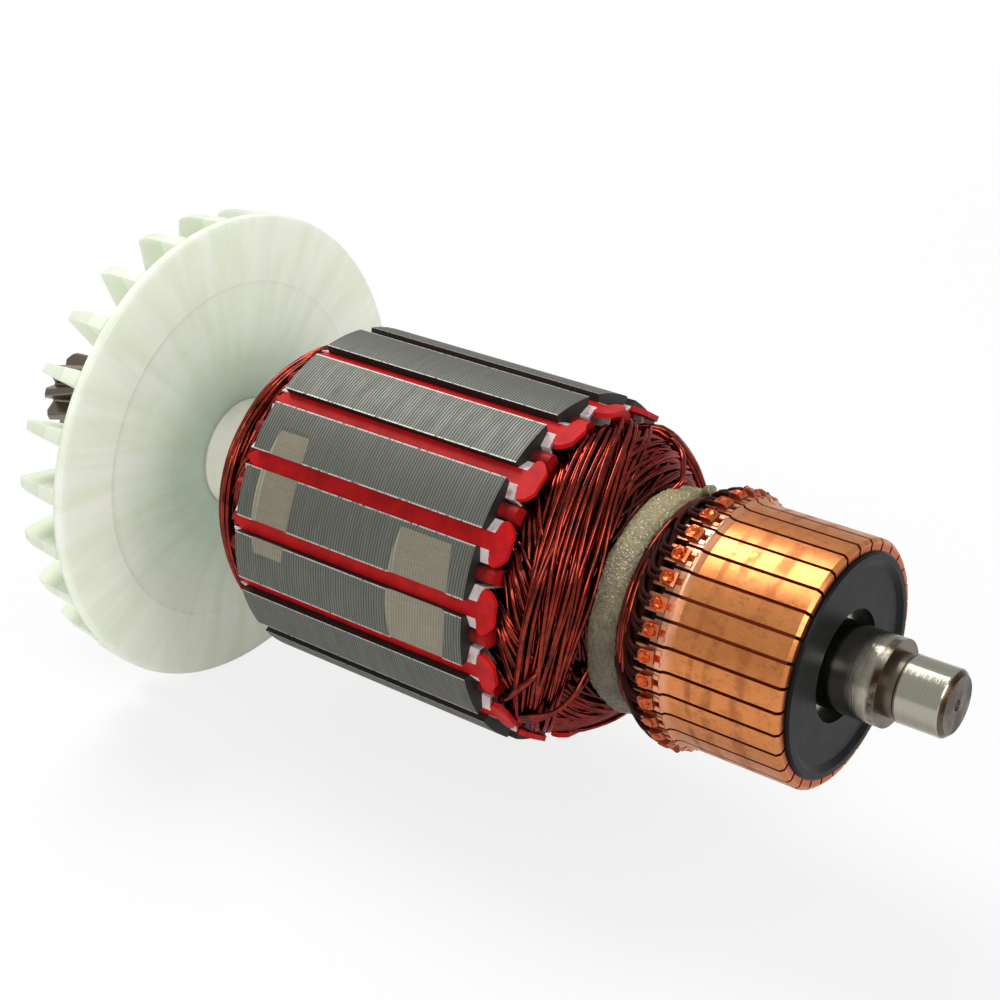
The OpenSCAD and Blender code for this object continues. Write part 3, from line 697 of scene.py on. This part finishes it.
def wound_head(sizes, outline, reach, side, seed):
    """Paths of all the wires of one head: sixteen lower coils and the two wound last."""
    rnd = random.Random(seed)
    span = 7 * SLOT_STEP
    lines = []
    for k in range(SLOTS):
        first = (k + 0.5) * SLOT_STEP
        level = 1.15 + 0.35 * ((k * 5) % 3)
        for share, layer in layered(rnd, sizes.coil_wires, 6):
            top = reach * (0.58 + 0.40 * share)
            shift = rnd.uniform(-0.8, 0.8) + 6 - 11 * share
            lines.append(coil_wire(rnd, outline, first + shift, first + span + shift * 0.6, (top, top),
                                   level + 0.7 * layer + rnd.uniform(0, 0.3), side, 2.6))
    for half in (0, 180):
        first = -0.5 * SLOT_STEP + half
        for share, layer in layered(rnd, sizes.last_wires, 8):
            top = reach * (0.56 + 0.44 * share)
            begin = first + 5 - 20 * share + rnd.uniform(-1, 1)
            finish = first + span + 6 - 15 * (1 - share) + rnd.uniform(-1.5, 1.5)
            lines.append(coil_wire(rnd, outline, begin, finish, (top, top + rnd.uniform(-0.5, 0.3)),
                                   layer * 0.74 + rnd.uniform(-0.12, 0.12), side))
        # a few turns that slipped across the others
        for from_share, to_share in ((0.1, 0.62), (0.35, 0.05), (0.55, 0.95), (0.9, 0.6)):
            tops = [reach * (0.56 + 0.44 * share) for share in (from_share, to_share)]
            lines.append(coil_wire(rnd, outline, first + 5 - 20 * from_share,
                                   first + span - 5 + 8 * to_share, tops, -0.45, side))
    return lines


def crossing(rnd):
    """Loose turns that leave a low slot of the front head: seven fan out, five sag along the bottom."""
    for j in range(7):
        s = j / 6
        lift = rnd.uniform(0, 0.35)
        yield smooth_line([(0.6, 124, 22.6), (3.0, 118 - s, 24.5 + lift),
                           (5.4 + s, 111.5 - 2 * s, 25.0 + lift),
                           (7.6 + 1.6 * s, 105.5 - 3 * s, 24.4 + lift - 0.6 * s),
                           (8.8 + 1.6 * s, 101 - 3 * s, 22.0 - s)], 36)
    for j in range(5):
        lift = rnd.uniform(0, 0.3)
        yield smooth_line([(0.6, 128, 22.6), (3.4, 126, 24.5 + lift), (7.0, 123.5 - 0.6 * j, 24.9 + lift),
                           (10.6 + 0.3 * j, 120.5 - 0.8 * j, 23.2 + lift), (13.2 + 0.2 * j, 116 - j, 20.4),
                           (14.6, 110 - j, 17.4)], 36)


def smooth_line(points, count):
    """Smooth path through a few (station, angle, radius) points, as places in metres."""
    ends = [[2 * a - b for a, b in zip(points[i], points[j])] for i, j in ((0, 1), (-1, -2))]
    held = [ends[0], *points, ends[1]]
    line = []
    for i in range(count + 1):
        t = i / count * (len(points) - 1)
        j = min(int(t), len(points) - 2)
        f = t - j
        # a Catmull-Rom curve: it passes through every point
        spot = [0.5 * (2 * q + (r - p) * f + (2 * p - 5 * q + 4 * r - u) * f * f
                       + (3 * q - p - 3 * r + u) * f ** 3)
                for p, q, r, u in zip(*held[j:j + 4])]
        line.append(on_shaft(*spot))
    return line


# ---------------------------------------------------------------- operators

def coat(made, *names):
    """Puts a material on CAD nodes by name."""
    for name in names:
        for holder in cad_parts[name].material_slots:
            holder.material = made


def add_piece(piece, slot, *stands_for):
    if stands_for:
        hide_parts(*stands_for)
    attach(piece, "root")


class FinishSteel(bpy.types.Operator):
    """Ground steel on the shaft and the bush, sheet steel on the core"""
    bl_idname = "armature.finish_steel"
    bl_label = "Finish steel"

    def execute(self, context):
        tints = context.scene.armature_colours
        sizes = context.scene.armature_sizes
        coat(ground_steel(tints), "shaft", "commutator_bush")
        coat(lamination_steel(tints, sizes.sheet), "core")
        return {"FINISHED"}


class FinishInsulation(bpy.types.Operator):
    """Fibre wedges and stars, liner paper and the sleeve"""
    bl_idname = "armature.finish_insulation"
    bl_label = "Finish insulation"

    def execute(self, context):
        tints = context.scene.armature_colours
        coat(fibre(tints, "Red fibre", False), *[f"wedge_{k:02d}" for k in range(1, SLOTS + 1)])
        coat(fibre(tints, "Resin-soaked fibre", True), "front_star", "rear_star")
        coat(liner_paper(tints), "slot_liners")
        coat(tube_plastic(tints), "sleeve")
        return {"FINISHED"}


class FinishFan(bpy.types.Operator):
    """Milky nylon on the fan"""
    bl_idname = "armature.finish_fan"
    bl_label = "Finish fan"

    def execute(self, context):
        tints = context.scene.armature_colours
        coat(moulded_nylon(tints), "fan")
        return {"FINISHED"}


class FinishCommutator(bpy.types.Operator):
    """Turned copper on the bars, phenolic on their moulding"""
    bl_idname = "armature.finish_commutator"
    bl_label = "Finish commutator"

    def execute(self, context):
        tints = context.scene.armature_colours
        coat(turned_copper(tints), *[f"bar_{k:02d}" for k in range(1, BARS + 1)])
        coat(phenolic(tints), "commutator_body")
        return {"FINISHED"}


class FuseHooks(bpy.types.Operator):
    """Lays a drop of fused copper in the dent of every hook"""
    bl_idname = "armature.fuse_hooks"
    bl_label = "Fuse hooks"

    def execute(self, context):
        tints = context.scene.armature_colours
        sizes = context.scene.armature_sizes
        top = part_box("bar_01")[1][2] / MM
        # a drop from its underside to the hollow in its top: radius and height over the hook
        rings = [(0.86, -0.35), (0.94, -0.16), (0.88, 0.0), (0.74, 0.09), (0.55, 0.08), (0.35, 0.0),
                 (0.15, -0.05)]
        turns = 20
        places = [(DENT, 0.0, top + rings[0][1])]
        for reach, rise in rings:
            for i in range(turns):
                a = 2 * math.pi * i / turns
                places.append((DENT + reach * math.cos(a), reach * math.sin(a), top + rise))
        places.append((DENT, 0.0, top + rings[-1][1]))
        faces = []
        last = len(places) - 1
        for i in range(turns):
            j = (i + 1) % turns
            faces.append((0, 1 + i, 1 + j))
            for row in range(len(rings) - 1):
                low, high = 1 + row * turns, 1 + (row + 1) * turns
                faces.append((low + i, high + i, high + j, low + j))
            high = 1 + (len(rings) - 1) * turns
            faces.append((high + i, last, high + j))
        mesh = bpy.data.meshes.new("drop")
        mesh.from_pydata([((x + FACE) * MM, y * MM, z * MM) for x, y, z in places], [], faces)
        mesh.transform(Matrix.Rotation(math.radians(BAR_TURN), 4, "X"))
        fix_outward(mesh)
        drops = grown("hook_drops", mesh, ring_tree(), Count=BARS, Unevenness=0.004, Melt=0.16 * MM,
                      Seed=sizes.seed, Material=fused_copper(tints))
        add_piece(drops, "bar_copper")
        return {"FINISHED"}


class WindHeads(bpy.types.Operator):
    """Winds both heads of enamelled wire round a dark inner body"""
    bl_idname = "armature.wind_heads"
    bl_label = "Wind heads"

    def execute(self, context):
        tints = context.scene.armature_colours
        sizes = context.scene.armature_sizes
        wire = enamelled_wire(tints, "Enamelled wire", False)
        inner = enamelled_wire(tints, "Soaked winding in painted shade", True)
        tree = wire_tree()
        heads = (("front_coils", FRONT_HEAD, 14.4, 1, sizes.seed),
                 ("rear_coils", REAR_HEAD, 11.6, -1, sizes.seed + 1))
        for name, outline, reach, side, seed in heads:
            lines = wound_head(sizes, outline, reach, side, seed)
            if side > 0:
                # one slack turn that stands off the head behind the top
                lines.append(smooth_line([(6.5, -38, 21.5), (9.2, -31, 22.9), (12.0, -24, 22.8),
                                          (14.6, -19, 21.6), (16.2, -14, 18.6), (15.6, -9, 16.9)], 30))
                lines.extend(crossing(random.Random(sizes.seed + 9)))
            coils = grown(name, paths(name, lines), tree, Wire_diameter=sizes.wire, Sides=6, Material=wire)
            # the body fills the head from near the shaft up to 3 mm under its outline; near black, it is
            # painted shade showing between the wires
            skin = [(s if side > 0 else -CORE_LEN - s, r - 3.0) for s, r in outline]
            inside = 10.2
            profile = [(skin[0][0], inside), *skin, (skin[-1][0], inside)]
            body = revolved(name.replace("coils", "coil_body"), profile, 72, 0.15, seed)
            body.data.materials.append(inner)
            add_piece(coils, "enamelled_copper", "winding")
            add_piece(body, "enamelled_copper", "winding")
        return {"FINISHED"}


class RunLeads(bpy.types.Operator):
    """Runs two dark leads from under the cord to every hook"""
    bl_idname = "armature.run_leads"
    bl_label = "Run leads"

    def execute(self, context):
        tints = context.scene.armature_colours
        sizes = context.scene.armature_sizes
        rnd = random.Random(sizes.seed + 5)
        lines = []
        run = HOOKS - NECK
        for k in range(BARS):
            hook = BAR_TURN + k * BAR_STEP
            for side in (-1, 1):
                lean = rnd.uniform(18, 50)
                bend = rnd.uniform(-0.3, 0.5)
                side *= 1.35
                lines.append(smooth_line([
                    (NECK - 1.6, hook - lean * 1.3, 15.0),
                    (NECK + 0.1, hook - lean, 15.9 + rnd.uniform(-0.2, 0.3)),
                    (NECK + run * 0.38 + bend, hook - lean * 0.5, 17.0 + rnd.uniform(-0.3, 0.3)),
                    (NECK + run * 0.72, hook - lean * 0.1 + side, 18.3 + rnd.uniform(-0.1, 0.1)),
                    (HOOKS + 0.4, hook + side, 19.2), (HOOKS + 2.2, hook + side, 19.25)], 30))
        # turns that were laid beside the cord before they rise to their hooks
        wraps = []
        for begin, offset in ((42, 0.3), (52, 0.8), (64, 1.3), (40, 1.9), (150, 0.4), (165, 1.0),
                              (260, 0.5), (275, 1.2), (330, 0.5)):
            wraps.append(smooth_line([
                (NECK + offset + 0.3 * t / 7 + 0.15 * math.sin(t * 1.7 + offset * 5), begin + 14 * t,
                 16.3 + 0.65 * offset + 0.1 * math.sin(t * 2.3 + offset)) for t in range(8)], 60))
        bright = enamelled_wire(tints, "Enamelled lead turns", False)
        turns = grown("lead_turns", paths("lead_turns", wraps), wire_tree(), Wire_diameter=sizes.lead,
                      Sides=8, Material=bright)
        dark = enamelled_wire(tints, "Dark leads", True)
        leads = grown("hook_leads", paths("hook_leads", lines), wire_tree(), Wire_diameter=sizes.lead,
                      Sides=8, Material=dark)
        # a near-black cone of painted shade fills the hollow under the leads
        flank = [(NECK - 1, 10.4), (NECK - 1, 14.8), (NECK + 0.6, 15.4), (HOOKS - 0.8, 17.7),
                 (HOOKS - 0.1, 17.9), (HOOKS - 0.1, 10.4)]
        cone = revolved("lead_cone", flank, 96, 0.2, 4)
        cone.data.materials.append(dark)
        for piece in (turns, leads, cone):
            add_piece(piece, "lead_copper", "leads")
        return {"FINISHED"}


class TieCord(bpy.types.Operator):
    """Ties the resin-soaked cord round the leads"""
    bl_idname = "armature.tie_cord"
    bl_label = "Tie cord"

    def execute(self, context):
        tints = context.scene.armature_colours
        sizes = context.scene.armature_sizes
        low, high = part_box("binding")
        back, outer = low[0] / MM - FACE, high[2] / MM
        section = [(-0.2, 14.9), (0.0, 16.0), (0.4, 16.9), (1.1, 17.5), (2.1, 17.75), (3.2, 17.65),
                   (4.2, 17.3), (5.0, 16.7), (5.4, 15.9), (5.5, 14.9)]
        # five steps along each side of the section, room enough for its fibres
        sides = [list(enumerate(places)) for places in zip(*section)]
        fine = [[between(side, t / 5) for side in sides] for t in range(5 * (len(section) - 1) + 1)]
        profile = [(back + s, r - CORD_RADIUS + outer - 0.35) for s, r in fine]
        cord = revolved("cord_binding", profile, 560, sizes.cord_rise / MM, 2.0, 0.3)
        skin = soaked_cord(tints)
        cord.data.materials.append(skin)
        add_piece(cord, "glass_cord", "binding")
        # the cord's cut end, stuck down on the turns and a little proud at its tip
        end = smooth_line([(back + 3.2, -34, outer - 1.1), (back + 4.4, -27, outer - 0.4),
                           (back + 5.6, -21, outer + 0.3), (back + 6.9, -17, outer + 0.8)], 14)
        tail = grown("cord_end", paths("cord_end", [end]), wire_tree(), Wire_diameter=1.5 * MM, Sides=10,
                     Material=skin)
        add_piece(tail, "glass_cord", "binding")
        return {"FINISHED"}


class SetStage(bpy.types.Operator):
    """Sets the floor, the soft lights and the camera"""
    bl_idname = "armature.set_stage"
    bl_label = "Set stage"

    def execute(self, context):
        low = Vector(CAD_BOX[0])
        reach = 3.0
        mesh = bpy.data.meshes.new("floor")
        corners = [(-reach, -reach), (reach, -reach), (reach, reach), (-reach, reach)]
        mesh.from_pydata([(x, y, low.z) for x, y in corners], [], [(0, 1, 2, 3)])
        floor = new_object("floor", mesh)
        made, tree, bsdf = material("Pale floor", Roughness=0.9, Base_Color=(0.86, 0.86, 0.86, 1))
        # to the eye the floor is mostly plain white paper, and keeps a soft shadow near the armature
        ray = node(tree, "ShaderNodeLightPath").outputs
        paper = node(tree, "ShaderNodeEmission", {"Color": (1, 1, 1, 1), "Strength": 1.0})
        eye = Field(tree, ray["Is Glossy Ray"]) * 0.4 + ray["Is Camera Ray"]
        place = node(tree, "ShaderNodeTexCoord").outputs["Object"]
        away = Field(tree, node(tree, "ShaderNodeVectorMath", {0: place}, operation="LENGTH").outputs[1])
        share = eye * (away.rise(0.15, 0.5) * 0.22 + 0.78)
        both = node(tree, "ShaderNodeMixShader", {0: share, 1: bsdf.outputs[0], 2: paper.outputs[0]})
        tree.links.new(both.outputs[0], tree.nodes["Material Output"].inputs["Surface"])
        floor.data.materials.append(made)
        world = bpy.data.worlds.new("Pale studio")
        world.use_nodes = True
        tree = world.node_tree
        tree.nodes.clear()
        ray = node(tree, "ShaderNodeLightPath").outputs
        eye = Field(tree, ray["Is Glossy Ray"]) * 0.3 + ray["Is Camera Ray"]
        soft = node(tree, "ShaderNodeBackground", {"Color": (0.95, 0.98, 1.0, 1), "Strength": 0.42})
        white = node(tree, "ShaderNodeBackground", {"Color": (1, 1, 1, 1), "Strength": 1.0})
        mix = node(tree, "ShaderNodeMixShader", {0: eye, 1: soft.outputs[0], 2: white.outputs[0]})
        node(tree, "ShaderNodeOutputWorld", {"Surface": mix.outputs[0]})
        context.scene.world = world
        lamps = (("Overhead softbox", (-0.42, 0.10, 0.62), 0.40, 0.26, 3.5),
                 ("Front softbox", (0.30, -0.75, 0.45), 0.5, 0.3, 2.2),
                 ("End softbox", (0.75, -0.05, 0.40), 0.4, 0.4, 2.6))
        aim = Vector((-0.07, 0, 0))
        for name, place, wide, tall, power in lamps:
            light = bpy.data.lights.new(name, "AREA")
            light.shape, light.size, light.size_y, light.energy = "RECTANGLE", wide, tall, power
            lamp = new_object(name, light)
            lamp.location = place
            lamp.rotation_euler = (Vector(place) - aim).to_track_quat("Z", "Y").to_euler()
        lens = bpy.data.cameras.new("Camera")
        lens.sensor_width, lens.lens = 36, 74.06
        lens.shift_x, lens.shift_y = 0.095, 0.009
        lens.clip_start, lens.clip_end = 0.01, 20
        camera = new_object("Camera", lens)
        right = Vector((0.77030, 0.63712, -0.02748)).normalized()
        back = Vector((0.57577, -0.67640, 0.45930)).normalized()
        up = back.cross(right).normalized()
        right = up.cross(back)
        place = Vector((98.85, -225.0, 152.8)) * MM
        camera.matrix_world = Matrix.Translation(place) @ Matrix((right, up, back)).transposed().to_4x4()
        context.scene.camera = camera
        context.scene.view_settings.view_transform = "Standard"
        return {"FINISHED"}


STEPS = (FinishSteel, FinishInsulation, FinishFan, FinishCommutator, FuseHooks, WindHeads, RunLeads,
         TieCord, SetStage)


class ArmaturePanel(bpy.types.Panel):
    """Lists the steps that dress the armature"""
    bl_idname = "VIEW3D_PT_armature"
    bl_label = "Motor armature"
    bl_space_type = "VIEW_3D"
    bl_region_type = "UI"
    bl_category = "Armature"

    def draw(self, context):
        for group in (context.scene.armature_sizes, context.scene.armature_colours):
            box = self.layout.box()
            for name in group.__annotations__:
                box.prop(group, name)
        for step in STEPS:
            self.layout.operator(step.bl_idname)


CLASSES = (ArmatureSizes, ArmatureColours, *STEPS, ArmaturePanel)


def register():
    for made in CLASSES:
        bpy.utils.register_class(made)
    bpy.types.Scene.armature_sizes = bpy.props.PointerProperty(type=ArmatureSizes)
    bpy.types.Scene.armature_colours = bpy.props.PointerProperty(type=ArmatureColours)


def unregister():
    del bpy.types.Scene.armature_sizes
    del bpy.types.Scene.armature_colours
    for made in reversed(CLASSES):
        bpy.utils.unregister_class(made)


def main():
    register()
    for step in STEPS:
        family, name = step.bl_idname.split(".")
        getattr(getattr(bpy.ops, family), name)()


if __name__ == "__main__":
    main()
